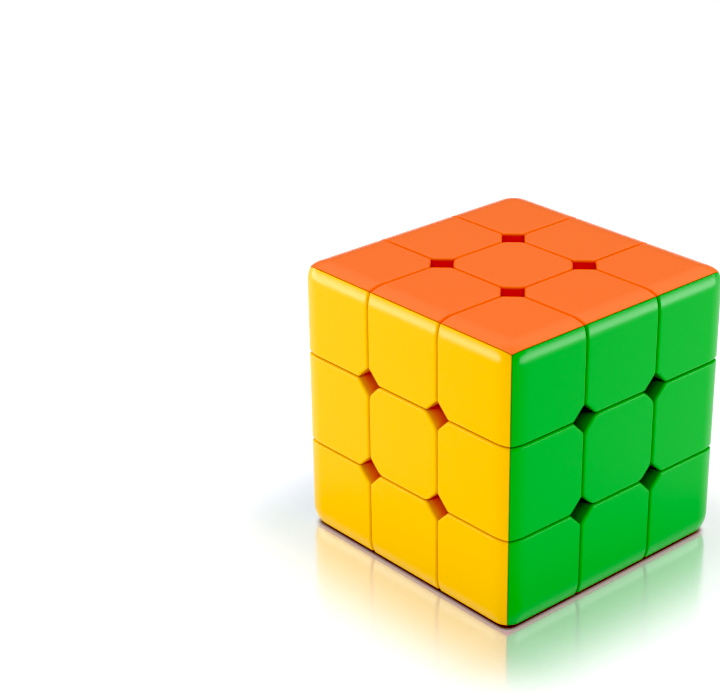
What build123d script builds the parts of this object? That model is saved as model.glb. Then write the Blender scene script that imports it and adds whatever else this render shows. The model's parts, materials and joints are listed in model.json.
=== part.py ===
from build123d import *
import math
import os

# Stickerless 3x3x3 twisty puzzle cube, as an assembly of its moulded pieces.
# Origin at the middle of the core, where the six turning axes meet. +Z is up.
# Every layer is cut free by one surface of revolution about its own axis:
# a plane at cut_outer outside the mechanism sphere, the sphere itself, and a
# plane at cut_inner inside it. So each piece has an outer block that shows and
# a foot inside the sphere that hooks under its neighbours.

# ---------------------------------------------------------------- dimensions
cube_size = 56.0                 # edge length of the whole cube
half = cube_size / 2
cut_outer = cube_size / 6        # layer boundary outside the mechanism sphere
cut_inner = 5.5                  # layer boundary inside the mechanism sphere
clearance = 0.09                 # each face stands back this far from a cut
sphere_track = 21.5              # radius of the mechanism sphere
foot_inner = 14.0                # inner radius of the feet
wall = 1.4                       # moulded wall thickness
edge_round = 8.0                 # soft rounding of each face towards the cube edges
crease_tilt = 25.0               # its slope where it meets the next colour
seam_radius = 0.48               # rounding of a piece's face at its seams
centre_seam_radius = 0.5
hole_half_diagonal = 2.95        # diamond opening where four pieces meet
cut_corner_radius = 0.8          # rounding at the ends of the cut corners
centre_cut_radius = 2.4
mitre_groove = 0.05              # half width of the joint line between colours
groove_floor = 0.9               # depth of that line below the rounded edge
mitre_notch = 0.10               # setback of the shallow notch along that line

flange_top = sphere_track + 1.0  # top of the floor of a corner piece
shell_start = sphere_track + 1.03
plug_top = 27.5                  # outer radius of the plug inside the shells
plug_gap = 0.05

arm_radius = 4.0                 # core arms
arm_end = 9.15
core_ball = 7.4
pilot_radius = 1.45
pilot_start = 2.8
stem_radius = 5.3                # centre piece stem
stem_start = 9.2
stem_floor = 1.5
stem_bore = 3.6
screw_clear = 1.6
cap_parting = 20.5               # parting plane of cap and base
boss_top = 23.0                  # top of the boss that the cap grips
screw_shank = 1.4
screw_start = 3.6
screw_head_z = 18.5
screw_head_radius = 2.8
screw_head_height = 1.7
washer_inner = 1.6
washer_outer = 3.2
washer_z = 17.98
washer_thick = 0.47
spring_wire = 0.3                # wire radius
spring_radius = 2.6              # mean coil radius
spring_z = (10.75, 17.93)
spring_turns = 4.5

near = cut_outer + clearance     # near face of an outer block
far = cut_outer - clearance      # side face of a block in the middle layer
foot_near = cut_inner + clearance
foot_far = cut_inner - clearance
big = 40.0

tilt = math.radians(crease_tilt)
crease = half - edge_round * (1 - math.cos(tilt))      # where two colours meet
overrun = edge_round * (math.cos(tilt) - math.sin(tilt))
beyond = half + overrun          # a face's block runs past the cube, then is mitred

FACES = {                        # outward direction of each face
    "top": (0, 0, 1), "bottom": (0, 0, -1), "front": (0, -1, 0),
    "back": (0, 1, 0), "right": (1, 0, 0), "left": (-1, 0, 0),
}
COLOURS = {"top": "orange", "bottom": "red", "front": "yellow",
           "back": "white", "right": "green", "left": "blue"}


# ------------------------------------------------------------------- helpers
def block(x0, x1, y0, y1, z0, z1):
    """Box between two corners."""
    return Pos((x0 + x1) / 2, (y0 + y1) / 2, (z0 + z1) / 2) * Box(
        x1 - x0, y1 - y0, z1 - z0)


def prism(points, z0, z1, radii=None):
    """Extrude a closed outline in XY from z0 to z1, rounding given corners."""
    face = make_face(Polyline(*[(x, y) for x, y in points], close=True))
    if radii:
        for (px, py), r in radii:
            face = fillet(face.vertices().sort_by_distance((px, py, 0))[:1], r)
    return extrude(Pos(0, 0, z0) * face, amount=z1 - z0)


def one(shape):
    """The single solid of a boolean result."""
    solids = shape.solids()
    assert len(solids) == 1, "expected one solid, got %d" % len(solids)
    return solids[0]


def half_space(direction, offset):
    """A large block on the far side of a plane (unit direction, offset)."""
    d = Vector(*direction).normalized()
    plane = Plane(origin=d * offset, z_dir=d)
    return plane * Pos(0, 0, big) * Box(4 * big, 4 * big, 2 * big)


def open_edges(solid, outer):
    """Edges that belong to exactly one of the faces picked by outer()."""
    found = []
    for face in solid.faces():
        if outer(face):
            found += face.edges()
    keep = []
    for edge in found:
        same = [e for e in found if (e.center() - edge.center()).length < 1e-4
                and abs(e.length - edge.length) < 1e-4]
        if len(same) == 1:
            keep.append(edge)
    return keep


def turn(shape, spin):
    """Apply a list of (axis letter, degrees) quarter turns about the origin."""
    lines = {"X": Axis.X, "Y": Axis.Y, "Z": Axis.Z}
    for axis, angle in spin:
        shape = shape.rotate(lines[axis], angle)
    return shape


def turn_direction(direction, spin):
    """The same quarter turns on a direction."""
    x, y, z = direction
    for axis, angle in spin:
        c, s = round(math.cos(math.radians(angle))), round(math.sin(math.radians(angle)))
        if axis == "X":
            x, y, z = x, c * y - s * z, s * y + c * z
        elif axis == "Y":
            x, y, z = c * x + s * z, y, -s * x + c * z
        else:
            x, y, z = c * x - s * y, s * x + c * y, z
    return (x, y, z)


def face_name(direction):
    for name, d in FACES.items():
        if tuple(direction) == d:
            return name
    raise ValueError(direction)


def mitre_slab(direction_a, direction_b):
    """Thin slab on the mitre plane of two faces, just under the cube edge."""
    a, b = Vector(*direction_a), Vector(*direction_b)
    out = (a + b).normalized()
    across = (a - b).normalized()
    apex = crease * math.sqrt(2)
    low, high = apex - groove_floor, apex + 3
    plane = Plane(origin=out * ((low + high) / 2), x_dir=across, z_dir=out)
    slab = plane * Box(2 * mitre_groove, 3 * big, high - low)
    # a right-angled notch opens the line, and runs out before the corner
    edge = crease - mitre_notch
    span = [(edge, big) if u or v else (-big, big)
            for u, v in zip(direction_a, direction_b)]
    return slab + block(*span[0], *span[1], *span[2])


EX, EY, EZ = (1, 0, 0), (0, 1, 0), (0, 0, 1)


# ------------------------------------------------------------- corner pieces
def corner_solid(low, high, wide, cut, radius):
    """Block behind the +Z face of a corner, rounded, with its hole cuts."""
    flat = [(low + cut, low), (wide, low), (wide, wide), (low, wide),
            (low, low + cut)]
    in_yz = [(low + cut, low), (wide, low), (wide, high), (low, high),
             (low, low + cut)]
    in_zx = [(low + cut, low), (high, low), (high, wide), (low, wide),
             (low, low + cut)]
    body = prism(flat, low, high)
    body = body & (Plane.YZ * prism(in_yz, low, wide))
    body = one(body & (Plane.ZX * prism(in_zx, low, wide)))
    limits = (wide, wide, high)
    rim = [e for e in body.edges() if sum(abs(c - m) < 1e-6 for c, m in zip(
           (e.center().X, e.center().Y, e.center().Z), limits)) == 2]
    return one(fillet(rim, radius))


def corner_block():
    """Outer block behind the +Z face of a corner piece."""
    body = corner_solid(near, half, beyond, hole_half_diagonal - 2 * clearance,
                        edge_round)

    def outer(f):
        c = f.center()
        inner = min(c.X, c.Y, c.Z)
        n = f.normal_at(c)
        return inner > near + 0.5 and (n.X > -0.01 and n.Y > -0.01 and n.Z > -0.01)
    return one(fillet(open_edges(body, outer), seam_radius))


def corner_cavity(shrink=0.0):
    """Hollow of a corner: the block less one wall, less an extra shrink."""
    inset = wall + shrink
    cut = hole_half_diagonal + inset * math.sqrt(2) - 2 * (clearance + inset)
    return corner_solid(near + inset, half - inset, beyond - inset, cut,
                        edge_round - inset)


def build_corner():
    outer = corner_block()
    shell = outer - Sphere(shell_start) - corner_cavity()
    for slab in (mitre_slab(EX, EY), mitre_slab(EY, EZ), mitre_slab(EZ, EX)):
        shell = shell - slab
    shell = shell & half_space((-1, 0, 1), 0) & half_space((0, -1, 1), 0)
    shell = one(shell)
    step = [("Y", 90), ("X", 90)]            # +Z to +X, +X to +Y, +Y to +Z
    shells = {EX: turn(shell, step), EY: turn(shell, step + step), EZ: shell}
    foot = block(foot_near, big, foot_near, big, foot_near, big) & Sphere(
        sphere_track - clearance)
    foot = foot + (outer & Sphere(flange_top))
    foot = foot + (corner_cavity(plug_gap) & Sphere(plug_top))
    foot = foot - Sphere(foot_inner)
    pocket = near + 2 * wall + plug_gap
    foot = foot - block(pocket, big, pocket, big, pocket, big)
    return shells, one(foot)


# --------------------------------------------------------------- edge pieces
def edge_solid(side, low, high, wide, cut, radius, corner=None):
    """Block behind the +Z face of the edge between the +Y and +Z faces."""
    def outline(top):
        return [(-side, top), (-side, low + cut), (-side + cut, low),
                (side - cut, low), (side, low + cut), (side, top)]
    rounds = corner and [(p, corner) for p in outline(high)[1:5]]
    body = prism(outline(wide), low, high, rounds)
    other = prism(outline(high), low, wide, rounds).rotate(Axis.X, -90)
    other = other.mirror(Plane.XY) if other.bounding_box().min.Z < 0 else other
    body = one(body & other)
    rim = [e for e in body.edges() if abs(e.center().Y - wide) < 1e-6
           and abs(e.center().Z - high) < 1e-6]
    return one(fillet(rim, radius))


def edge_block():
    """Outer block behind the +Z face of an edge piece."""
    body = edge_solid(far, near, half, beyond, hole_half_diagonal - 2 * clearance,
                      edge_round, cut_corner_radius)

    def outer(f):
        n = f.normal_at(f.center())
        c = f.center()
        return abs(n.X) < 0.01 and n.Y > -0.01 and n.Z > -0.01 and (
            c.Y > near + 2 and c.Z > near + 2)
    return one(fillet(open_edges(body, outer), seam_radius))


def edge_cavity():
    """Hollow of an edge piece: outer hollow, neck and foot hollow in one."""
    low = near + wall
    cut = hole_half_diagonal + wall * math.sqrt(2) - 2 * (clearance + wall)
    body = edge_solid(far - wall, low, half - wall, beyond - wall, cut,
                      edge_round - wall)
    body = body - Sphere(sphere_track + clearance + wall)
    side_in = foot_far - wall
    foot = block(-side_in, side_in, foot_near + wall, big, foot_near + wall, big)
    foot = (foot & Sphere(sphere_track - clearance - wall)) - Sphere(
        foot_inner + wall)
    neck = block(-side_in, side_in, low, 20, low, 20) & Sphere(
        sphere_track + 2.5)
    neck = neck - Sphere(sphere_track - 3)
    return body + neck + foot


def build_edge():
    outer = edge_block() - Sphere(sphere_track + clearance)
    foot = block(-foot_far, foot_far, foot_near, big, foot_near, big) & Sphere(
        sphere_track - clearance)
    neck = block(-foot_far, foot_far, near, 20, near, 20) & Sphere(
        sphere_track + 1.0)
    piece = outer + (foot + neck - Sphere(foot_inner))
    piece = piece - edge_cavity() - mitre_slab(EY, EZ)
    half_z = one(piece & half_space((0, -1, 1), 0))
    return {EZ: half_z, EY: turn(half_z, [("X", 90), ("Z", 180)])}


# ------------------------------------------------------------- centre pieces
def build_centre():
    cut = hole_half_diagonal - 2 * 0 - 2 * clearance
    s = far
    outline = [(s, -s + cut), (s, s - cut), (s - cut, s), (-s + cut, s),
               (-s, s - cut), (-s, -s + cut), (-s + cut, -s), (s - cut, -s)]
    whole = prism(outline, 12.0, half, [(p, centre_cut_radius) for p in outline])
    rim = [e for e in whole.edges() if abs(e.center().Z - half) < 1e-6]
    whole = one(fillet(rim, centre_seam_radius))
    si = far - wall
    ci = cut + wall * (math.sqrt(2) - 2)
    inner_outline = [(si, -si + ci), (si, si - ci), (si - ci, si), (-si + ci, si),
                     (-si, si - ci), (-si, -si + ci), (-si + ci, -si),
                     (si - ci, -si)]
    hollow = prism(inner_outline, 12.0, half - wall,
                   [(p, 1.0) for p in inner_outline])
    cap = whole - hollow
    cap = one(cap & block(-big, big, -big, big, cap_parting + 0.03, big))
    # four ribs under the plate stiffen it and stop on the boss
    ribs = [Pos(x, y, (boss_top + 0.05 + half - 0.5) / 2) * Box(
        lx, ly, half - 0.5 - boss_top - 0.05)
        for x, y, lx, ly in ((5.2, 0, 3.6, 1.0), (-5.2, 0, 3.6, 1.0),
                             (0, 5.2, 1.0, 3.6), (0, -5.2, 1.0, 3.6))]
    for rib in ribs:
        cap = cap + rib
    cap = one(cap)

    sb = si - plug_gap
    boss_outline = [(sb, -sb + ci), (sb, sb - ci), (sb - ci, sb), (-sb + ci, sb),
                    (-sb, sb - ci), (-sb, -sb + ci), (-sb + ci, -sb),
                    (sb - ci, -sb)]
    boss = prism(boss_outline, 12.0, boss_top, [(p, 1.0) for p in boss_outline])
    base = whole & block(-big, big, -big, big, 0, cap_parting)
    base = base + boss
    base = base - Sphere(sphere_track + clearance)
    stem = Pos(0, 0, (stem_start + 22.2) / 2) * Cylinder(
        stem_radius, 22.2 - stem_start)
    base = base + stem
    bore_low = stem_start + stem_floor
    base = base - Pos(0, 0, (bore_low + 30) / 2) * Cylinder(
        stem_bore, 30 - bore_low)
    base = base - Pos(0, 0, 10) * Cylinder(screw_clear, 10)
    return cap, one(base)


# ------------------------------------------------------------------ hardware
def build_core():
    body = Sphere(core_ball)
    for spin in SIX.values():
        arm = Pos(0, 0, arm_end / 2) * Cylinder(arm_radius, arm_end)
        body = body + turn(arm, spin)
    for spin in SIX.values():
        hole = Pos(0, 0, (pilot_start + 12) / 2) * Cylinder(
            pilot_radius, 12 - pilot_start)
        body = body - turn(hole, spin)
    return one(body)


def build_screw():
    shank = Pos(0, 0, (screw_start + screw_head_z) / 2) * Cylinder(
        screw_shank, screw_head_z - screw_start)
    tip = Pos(0, 0, screw_start - 0.3) * Cone(0.9, screw_shank, 0.6)
    head = Pos(0, 0, screw_head_z + screw_head_height / 2) * Cylinder(
        screw_head_radius, screw_head_height)
    head = fillet(head.edges().sort_by(Axis.Z)[-1:], 0.7)
    top = screw_head_z + screw_head_height
    body = shank + tip + head
    for lx, ly in ((3.4, 0.7), (0.7, 3.4)):
        body = body - Pos(0, 0, top - 0.45) * Box(lx, ly, 0.9)
    return one(body)


def build_washer():
    ring = Cylinder(washer_outer, washer_thick) - Cylinder(
        washer_inner, washer_thick + 1)
    return one(Pos(0, 0, washer_z + washer_thick / 2) * ring)


def build_spring():
    low, high = spring_z[0] + spring_wire, spring_z[1] - spring_wire
    height = high - low
    path = Helix(pitch=height / spring_turns, height=height,
                 radius=spring_radius)
    section = Plane(origin=path @ 0, z_dir=path % 0) * Circle(spring_wire)
    coil = sweep(section, path=path, is_frenet=True)
    return one(Pos(0, 0, low) * coil)


SIX = {
    "top": [], "bottom": [("X", 180)],
    "front": [("X", 90)], "back": [("X", -90)],
    "right": [("Y", 90)], "left": [("Y", -90)],
}

# ------------------------------------------------------------------ assembly
os.makedirs("parts", exist_ok=True)
parts = {}


def put(name, *solids):
    assert name not in parts, name
    parts[name] = list(solids)


put("core", build_core())
screw, washer, spring = build_screw(), build_washer(), build_spring()
put("tension_screws", *[turn(screw, s) for s in SIX.values()])
put("tension_springs", *[turn(spring, s) for s in SIX.values()])
put("spring_washers", *[turn(washer, s) for s in SIX.values()])

cap, base = build_centre()
for name, spin in SIX.items():
    put("%s_centre_base" % name, turn(base, spin))
    put("%s_centre_cap" % name, turn(cap, spin))

shells, foot = build_corner()
for level, first in (("top", []), ("bottom", [("X", 180)])):
    feet = []
    for k in range(4):
        spin = first + [("Z", 90 * k)]
        feet.append(turn(foot, spin))
        where = {a: face_name(turn_direction(a, spin)) for a in shells}
        names = set(where.values())
        place = "_".join(n for n in ("top", "bottom", "front", "back", "left",
                                     "right") if n in names)
        for axis, shell in shells.items():
            put("corner_%s_%s_shell" % (place, COLOURS[where[axis]]),
                turn(shell, spin))
    put("corner_feet_%s" % level, *feet)

halves = build_edge()
for level, first in (("top", []), ("bottom", [("X", 180)])):
    group = []
    for k in range(4):
        spin = first + [("Z", 90 * k)]
        group.append(turn(halves[EZ], spin))
        side = face_name(turn_direction(EY, spin))
        put("edge_%s_%s_%s_half" % (level, side, COLOURS[side]),
            turn(halves[EY], spin))
    put("edge_%s_%s_halves" % (level, COLOURS[level]), *group)
for k in range(4):
    spin = [("Y", 90), ("Z", 90 * k)]
    where = {a: face_name(turn_direction(a, spin)) for a in halves}
    place = "_".join(n for n in ("front", "back", "left", "right")
                     if n in where.values())
    for axis, piece in halves.items():
        put("edge_middle_%s_%s_half" % (place, COLOURS[where[axis]]),
            turn(piece, spin))

total = 0.0
for name, solids in parts.items():
    shape = solids[0] if len(solids) == 1 else Compound(children=solids)
    shape.label = name
    export_step(shape, "parts/%s.step" % name)
    total += sum(s.volume for s in solids)
print(len(parts), "nodes,", sum(len(s) for s in parts.values()), "solids,",
      round(total / 1000, 2), "cm3")
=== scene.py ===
import bpy
import json
import math
from mathutils import Matrix, Vector

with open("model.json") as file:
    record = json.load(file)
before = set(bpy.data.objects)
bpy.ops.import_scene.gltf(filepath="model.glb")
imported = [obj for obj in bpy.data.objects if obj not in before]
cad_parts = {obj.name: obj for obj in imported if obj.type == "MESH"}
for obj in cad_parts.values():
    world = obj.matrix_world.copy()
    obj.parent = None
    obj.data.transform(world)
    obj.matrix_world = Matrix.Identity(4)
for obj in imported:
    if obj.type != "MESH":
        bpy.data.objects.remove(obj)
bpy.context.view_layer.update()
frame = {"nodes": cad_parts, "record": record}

HALF = 0.028            # half the cube's edge
ROUND = 0.008           # rounding of each face towards the cube's edges
OVERRUN = ROUND * (math.cos(math.radians(25.0)) - math.sin(math.radians(25.0)))
FLOOR_Z = -HALF

# ------------------------------------------------------------------ camera
# Viewing angle and framing, in millimetres from the cube's centre.
AZ, EL, ROLL = math.radians(49.964), math.radians(24.822), math.radians(-1.145)
DIST, FOCAL_PX, SIDE, RISE = 362.43, 1886.2, -28.957, 9.392

back = Vector((math.sin(AZ) * math.cos(EL), -math.cos(AZ) * math.cos(EL), math.sin(EL)))
right = Vector((math.cos(AZ), math.sin(AZ), 0.0))
up = back.cross(right)
r2 = right * math.cos(ROLL) + up * math.sin(ROLL)
u2 = up * math.cos(ROLL) - right * math.sin(ROLL)
cam = bpy.data.objects.new("camera", bpy.data.cameras.new("camera"))
bpy.context.scene.collection.objects.link(cam)
eye = (back * DIST + r2 * SIDE + u2 * RISE) / 1000.0
rot = Matrix((r2, u2, back)).transposed()
cam.matrix_world = Matrix.Translation(eye) @ rot.to_4x4()
cam.data.sensor_fit = "HORIZONTAL"
cam.data.sensor_width = 36.0
cam.data.lens = FOCAL_PX * 36.0 / 720.0
cam.data.clip_start, cam.data.clip_end = 0.01, 20.0
bpy.context.scene.camera = cam

# --------------------------------------------------------------- materials
def new_material(name):
    m = bpy.data.materials.new(name)
    m.use_nodes = True
    t = m.node_tree
    t.nodes.clear()
    out = t.nodes.new("ShaderNodeOutputMaterial")
    sh = t.nodes.new("ShaderNodeBsdfPrincipled")
    t.links.new(sh.outputs[0], out.inputs[0])
    return m, t, sh


def node(t, kind, **values):
    n = t.nodes.new(kind)
    for k, v in values.items():
        if hasattr(n, k) and k not in n.inputs:
            setattr(n, k, v)
        else:
            n.inputs[k].default_value = v
    return n


def ramp(t, source, stops):
    r = t.nodes.new("ShaderNodeValToRGB")
    els = r.color_ramp.elements
    while len(els) < len(stops):
        els.new(0.5)
    for e, (p, c) in zip(els, stops):
        e.position = p
        e.color = c if len(c) == 4 else (*c, 1.0)
    t.links.new(source, r.inputs[0])
    return r.outputs[0]


def math_node(t, op, a, b=None, clamp=False):
    n = t.nodes.new("ShaderNodeMath")
    n.operation = op
    n.use_clamp = clamp
    for i, v in enumerate((a, b)):
        if v is None:
            continue
        if isinstance(v, (int, float)):
            n.inputs[i].default_value = v
        else:
            t.links.new(v, n.inputs[i])
    return n.outputs[0]


def plastic(name, colour, recess_shade_tint, rough=0.23, spec=0.35):
    """Moulded ABS: faint colour drift, an uneven satin sheen, and a painted shade tint on the walls of seams and
    openings.
    """
    m, t, sh = new_material(name)
    tc = t.nodes.new("ShaderNodeTexCoord")
    obj = tc.outputs["Object"]
    # slow drift of the pigment from piece to piece
    drift = node(t, "ShaderNodeTexNoise", Scale=14.0, Detail=0.0, Roughness=0.5)
    t.links.new(obj, drift.inputs["Vector"])
    lo = tuple(c * 0.985 for c in colour)
    hi = tuple(min(1.0, c * 1.015) for c in colour)
    face = ramp(t, drift.outputs[0], [(0.2, lo), (0.8, hi)])
    # depth below the cube's rounded outer faces, for a painted shade on the walls of seams and
    # openings: a darker, more saturated tint that stands in for shade in the recesses and for light
    # through the translucent plastic. Each face is a block rounded at ROUND that runs past the cube
    size = t.nodes.new("ShaderNodeVectorMath")
    size.operation = "ABSOLUTE"
    t.links.new(obj, size.inputs[0])
    reach = None
    for axis in range(3):
        flat = [HALF + OVERRUN - ROUND] * 3
        flat[axis] = HALF - ROUND
        off = t.nodes.new("ShaderNodeVectorMath")
        off.operation = "SUBTRACT"
        t.links.new(size.outputs[0], off.inputs[0])
        off.inputs[1].default_value = flat
        pos = t.nodes.new("ShaderNodeVectorMath")
        pos.operation = "MAXIMUM"
        t.links.new(off.outputs[0], pos.inputs[0])
        pos.inputs[1].default_value = (0.0, 0.0, 0.0)
        length = t.nodes.new("ShaderNodeVectorMath")
        length.operation = "LENGTH"
        t.links.new(pos.outputs[0], length.inputs[0])
        one = length.outputs["Value"]
        reach = one if reach is None else math_node(t, "MAXIMUM", reach, one)
    depth = math_node(t, "SUBTRACT", ROUND, reach)
    recess_shade_mask = node(t, "ShaderNodeMapRange")
    recess_shade_mask.interpolation_type = "SMOOTHSTEP"
    recess_shade_mask.inputs["From Min"].default_value = 0.0004
    recess_shade_mask.inputs["From Max"].default_value = 0.0020
    t.links.new(depth, recess_shade_mask.inputs["Value"])
    # painted shade: the base colour turns to the darker, more saturated recess tint deeper in seams and openings
    mix = t.nodes.new("ShaderNodeMix")
    mix.data_type = "RGBA"
    t.links.new(recess_shade_mask.outputs[0], mix.inputs["Factor"])
    t.links.new(face, mix.inputs["A"])
    mix.inputs["B"].default_value = (*recess_shade_tint, 1.0)
    t.links.new(mix.outputs["Result"], sh.inputs["Base Color"])
    # roughness: satin sheen, a little uneven, with faint drawn streaks
    mp = t.nodes.new("ShaderNodeMapping")
    mp.inputs["Rotation"].default_value = (0.5, 0.35, 0.5)
    mp.inputs["Scale"].default_value = (25.0, 260.0, 260.0)
    t.links.new(obj, mp.inputs["Vector"])
    streak = node(t, "ShaderNodeTexNoise", Scale=1.0, Detail=0.0, Roughness=0.4)
    t.links.new(mp.outputs[0], streak.inputs["Vector"])
    patch = node(t, "ShaderNodeTexNoise", Scale=40.0, Detail=0.0, Roughness=0.4)
    t.links.new(obj, patch.inputs["Vector"])
    both = math_node(t, "ADD", math_node(t, "MULTIPLY", patch.outputs[0], 0.6),
                     math_node(t, "MULTIPLY", streak.outputs[0], 0.4))
    base = node(t, "ShaderNodeMapRange")
    base.inputs["From Min"].default_value = 0.2
    base.inputs["From Max"].default_value = 0.8
    base.inputs["To Min"].default_value = rough - 0.02
    base.inputs["To Max"].default_value = rough + 0.02
    t.links.new(both, base.inputs["Value"])
    t.links.new(base.outputs[0], sh.inputs["Roughness"])
    sh.inputs["Specular IOR Level"].default_value = spec
    sh.inputs["IOR"].default_value = 1.5
    return m


# each plastic's second colour is its painted shade tint for the walls of seams and openings (the core's equals its
# own colour)
MATS = {
    "orange_plastic": plastic("orange_abs", (0.98, 0.188, 0.036), (1.0, 0.115, 0.018)),
    "yellow_plastic": plastic("yellow_abs", (0.89, 0.500, 0.004), (1.0, 0.400, 0.040)),
    "green_plastic": plastic("green_abs", (0.0015, 0.392, 0.024), (0.030, 0.380, 0.040)),
    "white_plastic": plastic("white_abs", (0.74, 0.74, 0.72), (0.62, 0.62, 0.60)),
    "blue_plastic": plastic("blue_abs", (0.012, 0.042, 0.49), (0.007, 0.024, 0.38)),
    "red_plastic": plastic("red_abs", (0.80, 0.018, 0.028), (0.62, 0.009, 0.013)),
    "core_plastic": plastic("natural_abs", (0.66, 0.63, 0.55), (0.66, 0.63, 0.55), 0.45, 0.4),
}


def steel():
    m, t, sh = new_material("zinc_steel")
    tc = t.nodes.new("ShaderNodeTexCoord")
    n = node(t, "ShaderNodeTexNoise", Scale=2500.0, Detail=3.0, Roughness=0.6)
    t.links.new(tc.outputs["Object"], n.inputs["Vector"])
    t.links.new(ramp(t, n.outputs[0], [(0.3, (0.50, 0.51, 0.53)), (0.7, (0.66, 0.66, 0.67))]),
                sh.inputs["Base Color"])
    mr = node(t, "ShaderNodeMapRange")
    mr.inputs["To Min"].default_value = 0.22
    mr.inputs["To Max"].default_value = 0.42
    t.links.new(n.outputs[0], mr.inputs["Value"])
    t.links.new(mr.outputs[0], sh.inputs["Roughness"])
    sh.inputs["Metallic"].default_value = 1.0
    return m


MATS["steel"] = steel()
slot_of = {s["node"]: s["material_slot"] for s in frame["record"]["subparts"]}
for name, obj in frame["nodes"].items():
    obj.data.materials.clear()
    obj.data.materials.append(MATS[slot_of[name]])

# ------------------------------------------------------------------- floor
mesh = bpy.data.meshes.new("floor")
S = 4.0
mesh.from_pydata([(-S, -S, FLOOR_Z), (S, -S, FLOOR_Z), (S, S, FLOOR_Z), (-S, S, FLOOR_Z)], [], [(0, 1, 2, 3)])
floor = bpy.data.objects.new("floor", mesh)
bpy.context.scene.collection.objects.link(floor)
m, t, sh = new_material("floor_gloss_white")
tc = t.nodes.new("ShaderNodeTexCoord")
sep = t.nodes.new("ShaderNodeSeparateXYZ")
t.links.new(tc.outputs["Object"], sep.inputs[0])
dx = math_node(t, "MAXIMUM", math_node(t, "SUBTRACT", math_node(t, "ABSOLUTE", sep.outputs[0]), HALF), 0.0)
dy = math_node(t, "MAXIMUM", math_node(t, "SUBTRACT", math_node(t, "ABSOLUTE", sep.outputs[1]), HALF), 0.0)
dist = math_node(t, "SQRT", math_node(t, "ADD", math_node(t, "MULTIPLY", dx, dx), math_node(t, "MULTIPLY", dy, dy)))
fade = node(t, "ShaderNodeMapRange")
fade.interpolation_type = "SMOOTHERSTEP"
fade.inputs["From Min"].default_value = 0.0
fade.inputs["From Max"].default_value = 0.027
fade.inputs["To Min"].default_value = 1.0
fade.inputs["To Max"].default_value = 0.0
t.links.new(dist, fade.inputs["Value"])
# contact shade: the floor under the overhang of the rounded lower edges
BEND = 0.003
qx = math_node(t, "SUBTRACT", math_node(t, "ABSOLUTE", sep.outputs[0]), HALF - BEND)
qy = math_node(t, "SUBTRACT", math_node(t, "ABSOLUTE", sep.outputs[1]), HALF - BEND)
px = math_node(t, "MAXIMUM", qx, 0.0)
py = math_node(t, "MAXIMUM", qy, 0.0)
bow = math_node(t, "SQRT", math_node(t, "ADD", math_node(t, "MULTIPLY", px, px),
                                     math_node(t, "MULTIPLY", py, py)))
core = math_node(t, "MINIMUM", math_node(t, "MAXIMUM", qx, qy), 0.0)
inside = math_node(t, "SUBTRACT", math_node(t, "ADD", bow, core), BEND)
contact = node(t, "ShaderNodeMapRange")
contact.interpolation_type = "SMOOTHSTEP"
contact.inputs["From Min"].default_value = -0.0014
contact.inputs["From Max"].default_value = 0.0005
t.links.new(inside, contact.inputs["Value"])
t.links.new(ramp(t, contact.outputs[0], [(0.0, (0.30, 0.26, 0.20)), (1.0, (0.62, 0.62, 0.62))]),
            sh.inputs["Base Color"])
sh.inputs["Roughness"].default_value = 0.6
sh.inputs["Specular IOR Level"].default_value = 0.0
glow = math_node(t, "MULTIPLY", contact.outputs[0], 0.56)
sh.inputs["Emission Color"].default_value = (1, 1, 1, 1)
t.links.new(glow, sh.inputs["Emission Strength"])
gl = t.nodes.new("ShaderNodeBsdfGlossy")
blur = node(t, "ShaderNodeMapRange")
blur.interpolation_type = "SMOOTHSTEP"
blur.inputs["From Min"].default_value = -0.0006
blur.inputs["From Max"].default_value = 0.0020
blur.inputs["To Min"].default_value = 0.30
blur.inputs["To Max"].default_value = 0.14
t.links.new(inside, blur.inputs["Value"])
t.links.new(blur.outputs[0], gl.inputs["Roughness"])
gl.inputs["Color"].default_value = (0.90, 1.0, 0.95, 1)
mx = t.nodes.new("ShaderNodeMixShader")
near_ = node(t, "ShaderNodeMapRange")
near_.interpolation_type = "SMOOTHSTEP"
near_.inputs["From Min"].default_value = -0.0010
near_.inputs["From Max"].default_value = 0.0002
near_.inputs["To Min"].default_value = 0.0
near_.inputs["To Max"].default_value = 0.64
t.links.new(inside, near_.inputs["Value"])
t.links.new(math_node(t, "MULTIPLY", fade.outputs[0], near_.outputs[0]), mx.inputs[0])
t.links.new(sh.outputs[0], mx.inputs[1])
t.links.new(gl.outputs[0], mx.inputs[2])
out = [n for n in t.nodes if n.type == "OUTPUT_MATERIAL"][0]
t.links.new(mx.outputs[0], out.inputs[0])
mesh.materials.append(m)

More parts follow.
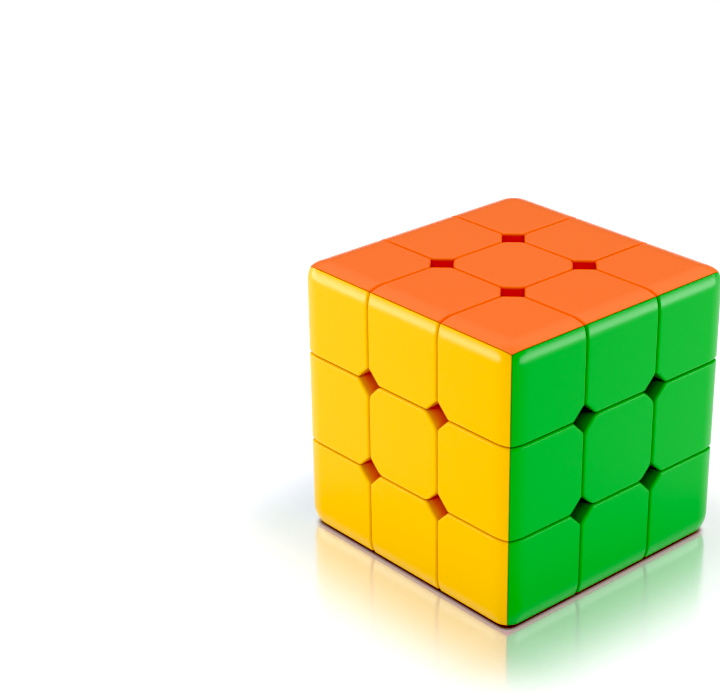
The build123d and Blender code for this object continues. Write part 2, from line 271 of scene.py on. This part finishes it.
# ------------------------------------------------------------------ lights
world = bpy.data.worlds.new("studio")
bpy.context.scene.world = world
world.use_nodes = True
wt = world.node_tree
bg = wt.nodes["Background"]
bg.inputs[0].default_value = (1.0, 1.0, 1.0, 1.0)
wc = wt.nodes.new("ShaderNodeTexCoord")
ws = wt.nodes.new("ShaderNodeSeparateXYZ")
wt.links.new(wc.outputs["Generated"], ws.inputs[0])
wr = wt.nodes.new("ShaderNodeMapRange")
wr.interpolation_type = "SMOOTHSTEP"
wr.inputs["From Min"].default_value = 0.25
wr.inputs["From Max"].default_value = 0.80
wr.inputs["To Min"].default_value = 0.30
wr.inputs["To Max"].default_value = 1.38
wt.links.new(ws.outputs[2], wr.inputs["Value"])
wt.links.new(wr.outputs[0], bg.inputs[1])


def softbox(name, direction, distance, size, power, target=(0, 0, 0)):
    d = bpy.data.lights.new(name, "AREA")
    d.shape = "RECTANGLE"
    d.size, d.size_y = size
    d.energy = power
    o = bpy.data.objects.new(name, d)
    bpy.context.scene.collection.objects.link(o)
    v = Vector(direction).normalized()
    o.location = Vector(target) + v * distance
    o.rotation_mode = "QUATERNION"
    o.rotation_quaternion = v.to_track_quat("Z", "Y")
    return o


# two low softboxes stand on the floor either side, just out of the picture
key_left = softbox("key_left", (-0.67, -0.74, 0.0), 0.30, (0.26, 0.074), 0.345, (0, 0, 0.013))
key_right = softbox("key_right", (0.834, 0.552, 0.0), 0.30, (0.26, 0.074), 0.345, (0, 0, 0.013))

# the softboxes light the cube and leave the floor to the even studio light
apart = bpy.data.collections.new("floor_apart")
apart.objects.link(floor)
apart.collection_objects[0].light_linking.link_state = "EXCLUDE"
for box in (key_left, key_right):
    box.light_linking.receiver_collection = apart

bpy.context.scene.view_settings.view_transform = "Standard"
bpy.context.scene.view_settings.look = "None"
bpy.context.scene.view_settings.exposure = 0.0
bpy.context.scene.view_settings.gamma = 1.0
bpy.context.scene.view_settings.use_curve_mapping = True
bpy.context.scene.view_settings.curve_mapping.black_level = (0.060, 0.060, 0.060)
bpy.context.scene.view_settings.curve_mapping.update()
